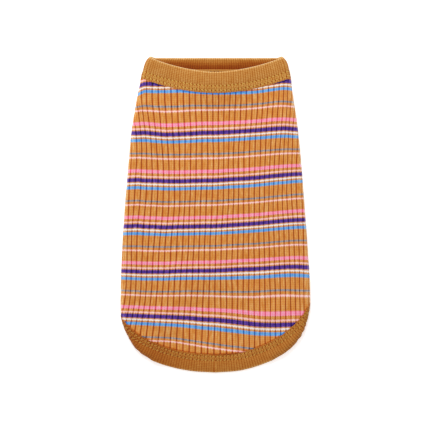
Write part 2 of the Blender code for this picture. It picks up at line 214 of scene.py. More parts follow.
NECK_EDGE_HALF_WIDTH = 60.0
# Painted shade in the bands' colour: on the hem, deepest on its left, and on the leg bands under
# the cloth.
HEM_SHADE, HEM_LEFT_SHADE, LEG_SHADE = 0.2, 0.3, 0.3
HEM_LEFT_REACH = 60.0       # from the middle, where the hem's left side has all of its shade

# How far each stripe lies below its height in the middle, at a distance from the middle.
WAVES = make_table(
    "x neck breast chest withers shoulder waist loin flank rump tail",
    (-80.0, 4.0, 1.5, 0.6, 0.1, 0.5, 0.3, 0.3, -1.2, -4.7, -8.0),
    (-66.0, 1.5, 1.0, 0.4, -0.4, -0.4, -0.2, 0.9, -0.5, -4.2, -8.0),
    (-63.0, -0.4, 0.4, 0.2, -0.3, 0.0, 0.0, 1.0, -0.3, -4.0, -7.6),
    (-60.0, -1.6, 0.5, 0.1, -0.2, 0.2, 0.3, 1.1, -0.2, -3.9, -7.3),
    (-51.0, -1.4, 1.0, 1.0, 0.3, 0.4, 0.6, 1.1, 0.0, -3.4, -6.8),
    (-42.0, -1.5, 1.3, 1.8, 0.6, 0.7, 1.0, 1.0, 0.0, -2.9, -6.5),
    (-32.0, -1.8, 1.0, 1.5, 0.6, 0.8, 0.6, 0.5, -0.2, -2.3, -5.3),
    (-21.0, -1.1, 0.3, 0.9, 0.4, 0.5, 0.4, 0.3, -0.4, -1.6, -3.3),
    (-11.0, -0.5, 0.0, 0.2, 0.0, 0.2, 0.1, 0.2, -0.3, -0.6, -1.6),
    (0.0, 0.0, 0.0, 0.0, 0.0, 0.0, 0.0, 0.0, 0.0, 0.0, 0.0),
    (11.0, -0.1, -0.4, -0.5, -0.5, -0.8, -0.7, -0.5, 0.3, 0.9, 1.5),
    (23.0, -0.3, -0.7, -1.2, -1.2, -1.4, -1.5, -1.1, 0.4, 2.3, 2.8),
    (36.0, -1.1, -1.8, -2.1, -2.3, -2.4, -2.4, -1.5, 0.1, 3.8, 4.1),
    (50.0, -3.2, -3.2, -3.2, -3.4, -3.9, -3.7, -2.4, -0.7, 4.3, 4.3),
    (60.0, -4.0, -3.3, -3.6, -4.1, -4.8, -4.6, -3.0, -0.9, 4.0, 3.9),
    (70.0, -2.5, -2.5, -2.8, -4.3, -5.7, -5.3, -3.1, -0.6, 3.6, 4.0),
    (80.0, -2.5, -2.5, -2.8, -4.3, -5.7, -5.5, -2.3, -0.4, 3.6, 4.0),
)
WAVE_HEIGHTS = {"tail": -110.3, "rump": -89.2, "flank": -67.0, "loin": -47.8, "waist": -9.5,
                "shoulder": 29.4, "withers": 51.0, "chest": 70.0, "breast": 90.0, "neck": 103.0}

# The repeat of the stripes: heights of its purple, grey and pink stripe in the middle.
REPEATS = make_table(
    "purple grey pink",
    (149.2, 132.3, 117.0),
    (109.3, 92.5, 77.4),
    (69.5, 51.5, 36.5),
    (28.9, 11.4, -2.6),
    (-10.1, -26.8, -40.7),
    (-47.9, -65.7, -81.6),
    (-90.0, -110.7, -124.8),
    (-131.8, -148.8, -160.8),
)
GREY_PHASE, PINK_PHASE = 0.456, 0.803

# Stripes of one repeat: the middle of each as a share of the repeat, and its width.
STRIPES = make_table(
    "colour phase width",
    ("purple", 0.0, 3.3),
    ("cream", 0.082, 1.38),
    ("blue", 0.170, 2.7),
    ("grey", GREY_PHASE, 1.35),
    ("blush", 0.543, 1.3),
    ("pink", PINK_PHASE, 2.75),
    ("blush", 0.915, 1.35),
)
STRIPE_START = 0.62         # the ramp starts here, in plain ochre
STRIPE_SOFTNESS = 0.32      # half the width of a stripe's soft edge, in millimetres

# Low ridges where the upper layer of cloth doesn't lie quite flat.
CREASES = make_table(
    "x0 y0 x1 y1 half_width rise",
    (-24.0, 98.0, -45.0, 50.0, 9.0, 0.9),
    (-8.0, 97.0, -16.0, 70.0, 6.0, 0.5),
    (24.0, 98.0, 33.0, 64.0, 7.0, 0.5),
    (46.0, 104.0, 60.0, 74.0, 6.0, 0.6),
    (-66.0, 30.0, -38.0, 6.0, 8.0, 0.7),
    (-70.0, -30.0, -40.0, -46.0, 8.0, 0.5),
    (70.0, 12.0, 42.0, -4.0, 8.0, 0.5),
    (-70.0, -84.0, -18.0, -104.0, 9.0, 0.9),
    (66.0, -70.0, 30.0, -98.0, 9.0, 0.8),
    (-20.0, -112.0, 34.0, -122.0, 7.0, 0.6),
)
CREASE_START, CREASE_END = (-0.15, 0.3), (0.6, 1.15)    # of its length, where it rises and falls
CREASE_FACING = (0.3, 1.0)      # how far up the cloth faces where creases begin and are whole
CAMERA_HEIGHT = 5000.0          # above the floor


def linear(code):
    """Turn an sRGB hex value into linear red, green and blue."""
    parts = [int(code[i:i + 2], 16) / 255 for i in (1, 3, 5)]
    return tuple(c / 12.92 if c <= 0.04045 else ((c + 0.055) / 1.055) ** 2.4 for c in parts)


def colour_property(name, description, code):
    """A colour that the user may change."""
    return bpy.props.FloatVectorProperty(name=name, description=description, subtype="COLOR",
                                         size=3, min=0.0, max=1.0, default=linear(code))


def length_property(name, description, default):
    """A size in millimetres that the user may change."""
    return bpy.props.FloatProperty(name=name, description=description, default=default * MM,
                                   min=0.0, unit="LENGTH", subtype="DISTANCE", precision=5)


class TankTopColours(bpy.types.PropertyGroup):
    """Colours of the yarns and of the stage."""

    ochre: colour_property("Ground", "Yarn of the striped knit's ground", "#D48B40")
    purple: colour_property("Purple", "Yarn of the darkest stripe", "#4D2D8B")
    cream: colour_property("Cream", "Yarn of the palest stripe", "#F0E5E0")
    blue: colour_property("Blue", "Yarn of the blue stripe", "#65A3DE")
    grey: colour_property("Grey", "Yarn of the grey stripe", "#8C8C96")
    blush: colour_property("Light pink", "Yarn of the two thin pink stripes", "#F5C5C0")
    pink: colour_property("Pink", "Yarn of the wide pink stripe", "#F495B1")
    band: colour_property("Bands", "Yarn of the neck, hem and leg bands", "#B97A34")
    thread: colour_property("Thread", "Needle threads of the bands' seams", "#DFB652")
    looper: colour_property("Looper thread", "Thread on the inside of the neck", "#C6863A")
    floor: colour_property("Floor", "The lit table that the top lies on", "#F4F4F4")


class TankTopSizes(bpy.types.PropertyGroup):
    """Sizes of the finer form."""

    groove_depth: length_property("Groove depth", "Depth of the grooves between ribs",
                                  GROOVE_DEPTH)
    wale_rise: length_property("Band rib height", "Height of the bands' fine ribs",
                               BAND_WALE_RISE)
    thread_radius: length_property("Thread radius", "Half the thickness of the sewing thread",
                                   THREAD_RADIUS)
    camera_height: length_property("Camera height", "From the floor to the camera",
                                   CAMERA_HEIGHT)


def ease(low, high, at):
    """Go smoothly from 0 at low to 1 at high."""
    share = np.clip((at - low) / (high - low), 0.0, 1.0)
    return share * share * (3.0 - 2.0 * share)


def read_curve(keys, values, at):
    """Read values along a smooth curve through their keys.

    A row of values may hold one number, or a number for each of the places that are read.
    """
    rows = np.arange(len(keys))
    before, after = np.maximum(rows - 1, 0), np.minimum(rows + 1, len(keys) - 1)
    slopes = ((values[after] - values[before]).T / (keys[after] - keys[before])).T
    at = np.clip(at, keys[0], keys[-1])
    right = np.clip(np.searchsorted(keys, at), 1, len(keys) - 1)
    left = right - 1
    span = keys[right] - keys[left]
    t = (at - keys[left]) / span

    def pick(table, row):
        return table[row] if table.ndim == 1 else table[row, np.arange(table.shape[1])]

    return (pick(values, left) * (2 * t ** 3 - 3 * t ** 2 + 1)
            + pick(values, right) * (3 * t ** 2 - 2 * t ** 3)
            + pick(slopes, left) * span * (t ** 3 - 2 * t ** 2 + t)
            + pick(slopes, right) * span * (t ** 3 - t ** 2))


def read_table(table, key, column, at):
    """Read a column of a table along a smooth curve through its rows."""
    return read_curve(np.array([getattr(row, key) for row in table]),
                      np.array([getattr(row, column) for row in table]), at)


def read_sides(table, key, at, side):
    """Read the left column of a table where the side is -1, and the right one where it is 1."""
    return np.where(side < 0, read_table(table, key, "left", at),
                    read_table(table, key, "right", at))


def side_of(girth):
    """Which side of the middle a girth lies on."""
    return np.where(girth < 0, -1, 1)


def fold_at(y, side):
    """Distance of the folded side from the middle."""
    return read_sides(FOLDS, "y", y, side)


def hem_seam(girth):
    """Height of the hem band's seam."""
    return read_sides(HEMS, "girth", np.abs(girth), side_of(girth))


def hem_slope(girth):
    """Slope of that seam, measured outwards from the middle of the back."""
    step = 0.5
    near, far = np.maximum(np.abs(girth) - step, 0.0), np.abs(girth) + step
    side = side_of(girth)
    return (hem_seam(side * far) - hem_seam(side * near)) / (far - near)


def neck_seam(girth):
    """Height of the neck band's seam."""
    share = np.minimum(1.0, np.abs(girth) / NECK_SEAM_HALF_WIDTH)
    return NECK_SEAM_Y + NECK_SEAM_RISE * share ** NECK_SEAM_CURVE


def upper_middle(x, y, flat_end):
    """Height above the surface of the middle of the upper layer."""
    puff = SIDE_PUFF * ease(flat_end - SIDE_PUFF_REACH, flat_end, np.abs(x))
    across = np.maximum(0.0, 1.0 - (x / NECK_GAPE_HALF_WIDTH) ** 2) ** 2
    gape = NECK_GAPE * across * ease(*NECK_GAPE_Y, y)
    from_tail = np.hypot(x / TAIL_DROP_HALF[0], (y - TAIL_DROP_CENTRE_Y) / TAIL_DROP_HALF[1])
    lift = ease(TAIL_DROP_INNER, 1.0, from_tail)
    return WALL / 2 + lift * (LAYER_STEP + puff + gape)


def fold_shape(y, side):
    """The flat part's end, the fold's middle height, its half height and half its arc."""
    flat_end = fold_at(y, side) - FOLD_OUTER - FOLD_HALF_WIDTH
    top = upper_middle(flat_end, y, flat_end)
    half = (top - WALL / 2) / 2
    arc = np.pi * np.sqrt((FOLD_HALF_WIDTH ** 2 + half ** 2) / 2) / 2
    return flat_end, WALL / 2 + half, half, arc


def place(girth, y):
    """Middle of the cloth and the way that it faces, as x, z, x of normal, z of normal."""
    side = side_of(girth)
    flat_end, middle, half, arc = fold_shape(y, side)
    along = np.abs(girth)
    angle = np.clip(np.pi * (along - flat_end) / (2 * arc), 0.0, np.pi)
    normal_x, normal_z = half * np.sin(angle), FOLD_HALF_WIDTH * np.cos(angle)
    length = np.hypot(normal_x, normal_z)
    above = along <= flat_end
    below = along >= flat_end + 2 * arc
    x = np.where(above, along, np.where(below, 2 * flat_end + 2 * arc - along,
                                        flat_end + FOLD_HALF_WIDTH * np.sin(angle)))
    z = np.where(above, upper_middle(along, y, flat_end),
                 np.where(below, WALL / 2, middle + half * np.cos(angle)))
    return side * x, z, side * normal_x / length, normal_z / length


def girth_below(x, y, side):
    """Girth of a point of the underside, x from the middle."""
    flat_end, _, _, arc = fold_shape(y, side)
    return 2 * flat_end + 2 * arc - x


def fold_girth(y, side):
    """Girth of the outermost line of a folded side."""
    flat_end, _, _, arc = fold_shape(y, side)
    return flat_end + arc


def leg_axis(y):
    """The line through a leg hole, and the seam above and below it."""
    return LEG_CENTRE[0] - LEG_LEAN * (y - LEG_CENTRE[1])


def leg_edge(y, way):
    """Distance from the middle of a panel's edge: way 1 is the back's, and -1 the belly's."""
    share = (y - LEG_CENTRE[1]) / LEG_HALF[1]
    half = LEG_HALF[0] * np.sqrt(np.maximum(0.0, 1.0 - share * share))
    return leg_axis(y) + way * np.maximum(LEG_END_HALF, half)


def settle(curve, girth_at, start):
    """Height at which each line of the cloth crosses a seam, closed in on by halves."""
    y = start
    for _ in range(SETTLE_ROUNDS):
        y = 0.5 * (y + curve(girth_at(y)))
    return y


def rib_lines(rib):
    """Lines that run along the ribs, as a function from their heights to their girths."""
    girths = np.array([read_table(GROOVES, "number", name, rib) for name in GROOVE_HEIGHTS])
    heights = np.array(list(GROOVE_HEIGHTS.values()))
    return lambda y: read_curve(heights, girths, y)


def rib_drift(rib, y):
    """How far a rib wanders sideways at a height."""
    return RIB_DRIFT * sum(wave.size * np.sin(y / wave.length + rib * wave.lag + wave.start)
                           for wave in RIB_WAVES)


def rib_height(rib):
    """Height of a rib across its width, from 0 in a groove to 1 on the crest."""
    across = np.mod(rib, 1.0)
    from_groove = np.minimum(across, 1.0 - across)
    shoulder = np.clip(from_groove / GROOVE_HALF, 0.0, 1.0)
    dip = WALE_DIP * ease(*WALE_DIP_REACH, from_groove)
    return np.sqrt(1.0 - (1.0 - shoulder) ** 2) - dip


def crease_rise(x, y):
    """Height of the low ridges at a point of the upper layer."""
    rise = np.zeros_like(x)
    for crease in CREASES:
        along_x, along_y = crease.x1 - crease.x0, crease.y1 - crease.y0
        length = np.hypot(along_x, along_y)
        t = ((x - crease.x0) * along_x + (y - crease.y0) * along_y) / length ** 2
        off = np.abs((x - crease.x0) * along_y - (y - crease.y0) * along_x) / length
        taper = ease(*CREASE_START, t) * (1.0 - ease(*CREASE_END, t))
        rise = np.maximum(rise, crease.rise * taper * (1.0 - ease(0.0, crease.half_width, off)))
    return rise


def cloth_point(girth, y, out, creased=True):
    """Points that lie out from the middle of the cloth, in metres."""
    x, z, normal_x, normal_z = place(girth, y)
    if creased:
        z = z + crease_rise(x, y) * ease(*CREASE_FACING, normal_z)
    points = np.stack([x + normal_x * out, y + 0.0 * x, z + normal_z * out], axis=-1)
    return points * MM


def upper_share(girth, y):
    """How far a point of the cloth faces up, from 0 on the underside to 1."""
    return ease(*UPPER_FACING, place(girth, y)[3])


def stripe_phase(girth, y):
    """Repeats of the stripes down to a point. The underside mirrors the upper side's waves."""
    fold = fold_girth(y, side_of(girth))
    x = side_of(girth) * np.maximum(0.0, fold - np.abs(np.abs(girth) - fold))
    heights = np.array(list(WAVE_HEIGHTS.values()))
    waves = np.stack([read_table(WAVES, "x", name, x) for name in WAVE_HEIGHTS])
    at = np.clip(y, heights[0], heights[-1])
    upper = np.clip(np.searchsorted(heights, at), 1, len(heights) - 1)
    t = (at - heights[upper - 1]) / (heights[upper] - heights[upper - 1])
    low = np.take_along_axis(waves, (upper - 1)[None], axis=0)[0]
    high = np.take_along_axis(waves, upper[None], axis=0)[0]
    level = y + low + (high - low) * t
    marks, phases = [], []
    for i, repeat in enumerate(REPEATS):
        marks += [repeat.purple, repeat.grey, repeat.pink]
        phases += [i, i + GREY_PHASE, i + PINK_PHASE]
    return np.interp(-level, [-mark for mark in marks], phases)


def deselect():
    """Select nothing, so that an operator acts only on what it adds."""
    if bpy.context.object and bpy.context.object.mode != "OBJECT":
        bpy.ops.object.mode_set(mode="OBJECT")
    bpy.ops.object.select_all(action="DESELECT")


def vertex_array(mesh):
    """The places of a mesh's points."""
    places = np.empty(len(mesh.vertices) * 3, np.float32)
    mesh.vertices.foreach_get("co", places)
    return places.reshape(-1, 3).astype(float)


def move_vertices(mesh, places):
    """Move a mesh's points to new places."""
    mesh.vertices.foreach_set("co", places.astype(np.float32).ravel())
    mesh.update()


def write_attributes(mesh, domain="POINT", **numbers):
    """Keep numbers at the points or face corners, for the cloth's material to read."""
    for name, values in numbers.items():
        attribute = mesh.attributes.new(name, "FLOAT", domain)
        attribute.data.foreach_set("value", values.astype(np.float32))


def add_grid(name, columns, rows):
    """Add a flat grid, with the column and row of each of its points."""
    deselect()
    bpy.ops.mesh.primitive_grid_add(x_subdivisions=columns - 1, y_subdivisions=rows - 1, size=2.0)
    piece = bpy.context.object
    piece.name = piece.data.name = name
    flat = vertex_array(piece.data)
    column = np.rint((flat[:, 0] + 1) / 2 * (columns - 1)).astype(int)
    row = np.rint((1 - flat[:, 1]) / 2 * (rows - 1)).astype(int)
    return piece, column, row


def add_wall(piece, thickness):
    """Give a cloth its wall with Solidify. The outer points come first."""
    wall = piece.modifiers.new("wall", "SOLIDIFY")
    wall.thickness = thickness * MM
    wall.offset = -1.0
    wall.use_rim = True
    bpy.ops.object.modifier_apply(modifier=wall.name)


def face_outwards(piece):
    """Point the faces of a closed piece outwards and shade it smoothly."""
    deselect()
    piece.select_set(True)
    bpy.context.view_layer.objects.active = piece
    bpy.ops.object.mode_set(mode="EDIT")
    bpy.ops.mesh.select_all(action="SELECT")
    bpy.ops.mesh.normals_make_consistent(inside=False)
    bpy.ops.object.mode_set(mode="OBJECT")
    bpy.ops.object.shade_smooth()


def finish_piece(piece, make_material, slot, *nodes):
    """Dress a piece and tie it to the solids that it stands for.

    Pieces of one material share it. It is made on first use and named like its function.
    """
    name = make_material.__name__.replace("_", " ")
    piece.data.materials.clear()
    piece.data.materials.append(bpy.data.materials.get(name) or make_material())
    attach(piece, BODY)
    if nodes:
        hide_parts(*nodes)


def course_shares(side):
    """Shares of a panel's length at which its courses lie, close at the leg hole's ends."""
    def edge(y):
        return side * girth_below(leg_axis(y), y, side)

    top = settle(neck_seam, edge, np.array(NECK_SEAM_Y)) + SEAM_TUCK
    bottom = settle(hem_seam, edge, np.array(HEMS[-1].left)) - SEAM_TUCK
    leg_top, leg_bottom = LEG_CENTRE[1] + LEG_HALF[1], LEG_CENTRE[1] - LEG_HALF[1]
    turns = np.linspace(0.0, np.pi, LEG_COURSES + 1)
    heights = np.concatenate([
        [top], top - np.array(SEAM_COURSES),
        np.linspace(top - SEAM_COURSES[-1], leg_top, CHEST_COURSES + 1)[1:-1],
        LEG_CENTRE[1] + LEG_HALF[1] * np.cos(turns),
        np.linspace(leg_bottom, bottom + SEAM_COURSES[-1], BELLY_COURSES + 1)[1:-1],
        bottom + np.array(SEAM_COURSES[::-1]), [bottom],
    ])
    return (top - heights) / (top - bottom)


def make_panel(name, girth_at, rib_at, across):
    """Make a striped panel from the girth and the rib of each of its columns.

    across goes from 0 to 1 over the columns, and blends the courses of the two side edges.
    """
    columns = len(across)
    left, right = course_shares(-1), course_shares(1)
    piece, column, row = add_grid(name, columns, len(left))
    top = settle(neck_seam, girth_at, np.full(columns, NECK_SEAM_Y)) + SEAM_TUCK
    bottom = settle(hem_seam, girth_at, np.full(columns, HEMS[-1].left)) - SEAM_TUCK
    shares = left[:, None] + (right - left)[:, None] * across[None, :]
    heights = top[None, :] + (bottom - top)[None, :] * shares
    girths = np.array([girth_at(y) for y in heights])
    ribs = rib_at(girths, heights)
    from_end = np.minimum(top[None, :] - heights, heights - bottom[None, :])
    pick = (row, column)
    y, girth, rib, from_end = heights[pick], girths[pick], ribs[pick], from_end[pick]
    move_vertices(piece.data, cloth_point(girth, y, 0.0))
    add_wall(piece, WALL)

    sizes = bpy.context.scene.tank_top_sizes
    upper = upper_share(girth, y)
    crest = rib_height(rib)
    depth = UNDER_GROOVE_DEPTH + upper * (sizes.groove_depth / MM - UNDER_GROOVE_DEPTH)
    wall = WALL + upper * (CREST_WALL - WALL) - depth * (1.0 - crest)
    outer = cloth_point(girth, y, wall - WALL / 2)
    inner = cloth_point(girth, y, np.full_like(wall, -WALL / 2))
    move_vertices(piece.data, np.concatenate([outer, inner]))
    across = np.mod(rib, 1.0)
    # Painted shade in the grooves, which the material deepens and dims.
    groove = 1.0 - ease(*GROOVE_SHADE, np.minimum(across, 1.0 - across))
    # A painted rim light where the cloth turns at a fold: lighter, with less of the groove's
    # painted shade.
    rim = 1.0 - ease(*RIM_REACH, np.abs(np.abs(girth) - fold_girth(y, side_of(girth))))
    groove = groove * (1.0 - RIM_FADE * rim) - RIM_LIGHT * rim
    # The panel's ends get painted shade where they tuck under the bands.
    write_attributes(piece.data, rib=np.tile(rib, 2), repeat=np.tile(stripe_phase(girth, y), 2),
                     groove=np.concatenate([groove, np.zeros_like(groove)]),
                     tucked=np.tile(1.0 - ease(*SEAM_SHADE, from_end), 2))
    face_outwards(piece)
    return piece


def ring_girth(turn, y):
    """Girth of a point of a ring: a turn of 0.5 is a fold and 1 the belly's middle."""
    side = side_of(turn)
    fold = fold_girth(y, side)
    share = np.abs(turn)
    below = fold + (2 * share - 1) * (girth_below(0.0, y, side) - fold)
    return side * np.where(share <= 0.5, 2 * share * fold, below)


def ring_seam(turn):
    """Height of the neck seam at a turn of the ring."""
    return settle(neck_seam, lambda y: ring_girth(turn, y), np.full_like(turn, NECK_SEAM_Y))


def neck_line(turn, distance):
    """Girth and height at a distance from the neck seam, on a line across the band."""
    y = ring_seam(turn) + distance
    return ring_girth(turn, y), y


def neck_width(turn):
    """Width of the neck band."""
    share = np.abs(turn)
    corner = NECK_EDGE_Y + NECK_EDGE_RISE - NECK_FRONT_EDGE_Y
    front = NECK_FRONT_EDGE_Y + corner * (1.0 - ease(0.5, NECK_CORNER_TURN, share))
    back = NECK_EDGE_Y + NECK_EDGE_RISE * (2 * share) ** NECK_EDGE_CURVE
    return np.where(share <= 0.5, back, front) - ring_seam(turn)


def hem_stations(side):
    """Girths along one half of the hem, how far round it each lies, and the half's length."""
    girth = np.linspace(0.0, girth_below(0.0, HEMS[-1].left, side), HEM_SAMPLES)
    steps = np.hypot(np.diff(girth), np.diff(hem_seam(side * girth)))
    length = np.concatenate([[0.0], np.cumsum(steps)])
    return girth, length / length[-1], length[-1]


def hem_along(turn):
    """Distance round the cloth, from the middle of the back, to a turn of the hem's seam."""
    return np.where(turn < 0, np.interp(-turn, *hem_stations(-1)[1::-1]),
                    np.interp(turn, *hem_stations(1)[1::-1]))


def hem_line(turn, distance):
    """Girth and height at a distance from the hem seam, square to it."""
    side, along = side_of(turn), hem_along(turn)
    slope = hem_slope(side * along)
    out = distance / np.hypot(1.0, slope)
    return side * (along + slope * out), hem_seam(side * along) - out


def hem_width(turn):
    """Width of the hem band."""
    return read_table(HEMS, "girth", "width", hem_along(turn))


def leg_width(turn):
    """Width of a leg band."""
    return np.full_like(turn, LEG_BAND_WIDTH)


def band_point(line, turn, distance, out):
    """A point of the neck or hem band that lies out from the middle of its cloth."""
    girth, y = line(turn, distance)
    return cloth_point(girth, y, out(upper_share(girth, y)), creased=False)


def leg_point(side, turn, distance, out):
    """A point of a leg band, on the underside."""
    angle, inset = np.pi * turn, SEAM_GAP + distance
    y = LEG_CENTRE[1] + (LEG_HALF[1] - inset) * np.cos(angle)
    x = leg_axis(y) + (LEG_HALF[0] - inset) * np.sin(angle)
    z = WALL / 2 - out(np.zeros_like(y))
    return np.stack([side * x, y, z], axis=-1) * MM


def band_surface(distance, width, wale, rows, upper):
    """Height of a band's outer face over its plain wall: fine ribs, needle rows and puff."""
    rise = bpy.context.scene.tank_top_sizes.wale_rise / MM
    ribs = 0.5 * rise * (np.cos(2 * np.pi * wale) - 1.0)
    needles = sum(1.0 - ease(0.0, NEEDLE_TROUGH_HALF, np.abs(distance - row)) for row in rows)
    start = rows[-1] + NEEDLE_TROUGH_HALF
    across = np.clip((distance - start) / (width - start - BAND_WALL / 2), 0.0, 1.0)
    puff = upper * BAND_PUFF * np.sin(np.pi * across) ** PUFF_CURVE
    return ribs - NEEDLE_TROUGH * needles + puff


def band_out(wall_share, surface, upper):
    """Distance from the middle of a band's cloth, from 0 on its inner face to 1 outside."""
    inner = -WALL / 2
    outer = WALL + upper * (BAND_WALL - WALL) - WALL / 2 + surface
    return inner + (outer - inner) * wall_share


def band_section(rows, edge_radius):
    """Cross-section of a band, as distances from its seam and edge, and wall shares."""
    near = list(SECTION_START)
    for row in rows:
        near += [(row + off * NEEDLE_TROUGH_HALF, 1.0) for off in (-1.0, -0.5, 0.0, 0.5, 1.0)]
    section = [(d, 0.0, v) for d, v in near] + [(0.0, far, 1.0) for far in SECTION_OUTER]
    for angle in np.linspace(0.0, np.pi, SECTION_EDGE_POINTS):
        section.append((edge_radius * (np.sin(angle) - 1.0), 1.0, 0.5 + 0.5 * np.cos(angle)))
    return np.array(section + [(0.0, far, 0.0) for far in SECTION_INNER])


def opening_shade(places, wall_share, turn):
    """Painted shade of a point of the far inner face, deep in the neck's opening, from 0 to 1."""
    x, y = places[:, 0] / MM, places[:, 1] / MM
    along = np.minimum(1.0, np.abs(x) / NECK_EDGE_HALF_WIDTH)
    near_edge = NECK_EDGE_Y + NECK_EDGE_RISE * along ** NECK_EDGE_CURVE
    inside = (np.abs(turn) > 0.5) & (wall_share < 0.5)
    far = (y - near_edge) / np.maximum(0.5, NECK_FRONT_EDGE_Y - near_edge)
    fading = 1.0 - (1.0 - OPENING_END_SHADE) * ease(*OPENING_ENDS, along)
    return inside * fading * (1.0 - ease(*OPENING_SHADE, far))


def hem_shade(places, *_):
    """How much painted shade deepens the hem band's colour. It is deepest on the left."""
    return HEM_SHADE + HEM_LEFT_SHADE * ease(0.0, HEM_LEFT_REACH, -places[:, 0] / MM)


def leg_shade(places, *_):
    """How much painted shade deepens the leg bands' colour."""
    return np.full(len(places), LEG_SHADE)


def corner_turns(mesh, station, stations):
    """The turn at each face's corners, which goes on past 1 where a ring closes."""
    points = np.empty(len(mesh.loops), np.int32)
    mesh.loops.foreach_get("vertex_index", points)
    stations_at = station[points].reshape(-1, 4)
    closes = np.ptp(stations_at, axis=1)[:, None] > stations / 2
    stations_at = stations_at + stations * (closes & (stations_at < stations / 2))
    return 2 * stations_at.ravel() / stations - 1.0


# A band: its length, its needle rows, the radius of its edge, and the functions of its width, its
# points and its painted shade.
Band = namedtuple("Band", "length rows edge_radius width_at point_at shade_at")


def make_band(name, band):
    """Make a closed band from a torus, whose rings become lines across the band."""
    section = band_section(band.rows, band.edge_radius)
    wales = round(band.length / BAND_WALE)
    stations = wales * BAND_WALE_POINTS
    deselect()
    bpy.ops.mesh.primitive_torus_add(major_radius=1.0, minor_radius=0.25,
                                     major_segments=stations, minor_segments=len(section))
    piece = bpy.context.object
    piece.name = piece.data.name = name
    flat = vertex_array(piece.data)
    round_it = np.arctan2(flat[:, 1], flat[:, 0]) / (2 * np.pi) * stations
    station = np.mod(np.rint(round_it).astype(int), stations)
    round_section = np.arctan2(flat[:, 2], np.hypot(flat[:, 0], flat[:, 1]) - 1.0)
    spot = np.mod(np.rint(round_section / (2 * np.pi) * len(section)).astype(int), len(section))
    turns = 2 * np.arange(stations) / stations - 1.0
    turn = turns[station]
    width = band.width_at(turns)[station]
    near, far, wall_share = section[spot].T
    distance = near + far * width

    def out(upper):
        surface = band_surface(distance, width, turn * wales / 2, band.rows, upper)
        return band_out(wall_share, surface, upper)

    places = band.point_at(turn, distance, out)
    move_vertices(piece.data, places)
    write_attributes(piece.data, distance=distance, from_edge=width - distance,
                     first_row=np.full_like(distance, band.rows[0]),
                     second_row=np.full_like(distance, band.rows[1]),
                     shade=band.shade_at(places, wall_share, turn))
    face_outwards(piece)
    round_ring = corner_turns(piece.data, station, stations)
    stitches = round(band.length / STITCH_LENGTH)
    write_attributes(piece.data, "CORNER", wale=round_ring * wales / 2,
                     stitch=round_ring * stitches / 2)
    return piece


# A row of stitches: its distance from the seam, its sway to each side, how many radii it dips at
# a hole, its share of the thread's thickness, whether it lies on the inside, and the needle rows
# that its band has.
ThreadLine = namedtuple("ThreadLine", "row sway dip thickness inside troughs")


def cover_stitch(rows, thickness):
    """Two needle rows with a finer thread that crosses from one to the other between them."""
    middle, half = sum(rows) / 2, (rows[1] - rows[0]) / 2
    return ([ThreadLine(row, NEEDLE_SWAY, NEEDLE_DIP, thickness, False, rows) for row in rows]
            + [ThreadLine(middle, half, 0.0, COVER_THICKNESS * thickness, False, rows)])


def make_threads(name, lines, band):
    """Sew rows of stitches round a band: each is one thread that dips at every hole."""
    radius = bpy.context.scene.tank_top_sizes.thread_radius / MM
    stitches = round(band.length / STITCH_LENGTH)
    count = round(band.length / THREAD_STEP)
    turn = 2 * np.arange(count) / count - 1.0
    stitch = turn * stitches / 2
    deselect()
    curve = bpy.data.curves.new(name, "CURVE")
    curve.dimensions = "3D"
    curve.bevel_depth = radius * MM
    curve.bevel_resolution = 1
    width = band.width_at(turn)
    for line in lines:
        distance = line.row + line.sway * np.sin(2 * np.pi * stitch)

        def out(upper, distance=distance, line=line):
            if line.inside:
                return np.full_like(turn, -WALL / 2 - LOOPER_LIFT * radius)
            surface = band_surface(distance, width, 0.0 * turn, line.troughs, upper)
            dip = line.dip * np.cos(np.pi * stitch) ** 2
            lift = radius * line.thickness * (THREAD_LIFT * upper - THREAD_SINK - dip)
            ceiling = band_out(1.0, THREAD_CEILING * upper, upper) - radius
            return np.minimum(band_out(1.0, surface, upper) + lift, ceiling)

        points = band.point_at(turn, distance, out)
        spline = curve.splines.new("POLY")
        spline.points.add(len(points) - 1)
        spline.points.foreach_set("co", np.column_stack([points, np.ones(count)]).ravel())
        spline.points.foreach_set("radius", np.full(count, line.thickness))
        spline.use_cyclic_u = True
    piece = bpy.data.objects.new(name, curve)
    bpy.context.collection.objects.link(piece)
    piece.select_set(True)
    bpy.context.view_layer.objects.active = piece
    bpy.ops.object.convert(target="MESH")
    face_outwards(piece)
    return piece


def sew_band(word, band, thickness, end=""):
    """Make a band and its cover stitch, both dressed, for the solid of the same name."""
    piece = make_band(word + "_binding" + end, band)
    finish_piece(piece, fine_rib_knit, "band_knit", word + "_band" + end)
    threads = make_threads(word + "_stitches" + end, cover_stitch(band.rows, thickness), band)
    finish_piece(threads, needle_thread, "band_knit")
    return piece, threads


# How each material takes the light: its shader's roughness and the weight and tint of its bloom.
Finish = namedtuple("Finish", "roughness sheen tint")
KNIT = Finish(0.88, 0.22, (1.0, 0.93, 0.86))
BAND_KNIT = Finish(0.9, 0.2, (1.0, 0.93, 0.8))
NEEDLE = Finish(0.6, 0.15, (1.0, 0.95, 0.8))
LOOPER = Finish(0.85, 0.15, (1.0, 0.95, 0.8))
ACRYLIC = Finish(0.9, 0.0, (1.0, 1.0, 1.0))
SPECULAR = 0.15
SHEEN_ROUGHNESS = 0.45
WHITE = (1.0, 1.0, 1.0, 1.0)
TABLE_GLOW = 0.45
STITCH_BUMP = {"Strength": 0.8, "Distance": 0.22 * MM}
GRAIN_BUMP = {"Strength": 0.05, "Distance": 0.05 * MM}
FIBRE_BUMP = 0.5            # of the stitches' height
NOISE_DETAIL = 3.0
MOTTLE_SIZE, BAND_MOTTLE_SIZE, GRAIN_SIZE = 5.0, 4.0, 2.0   # in millimetres, like the next two
FIBRE_SIZE, TWIST_SIZE = 0.5, 0.3
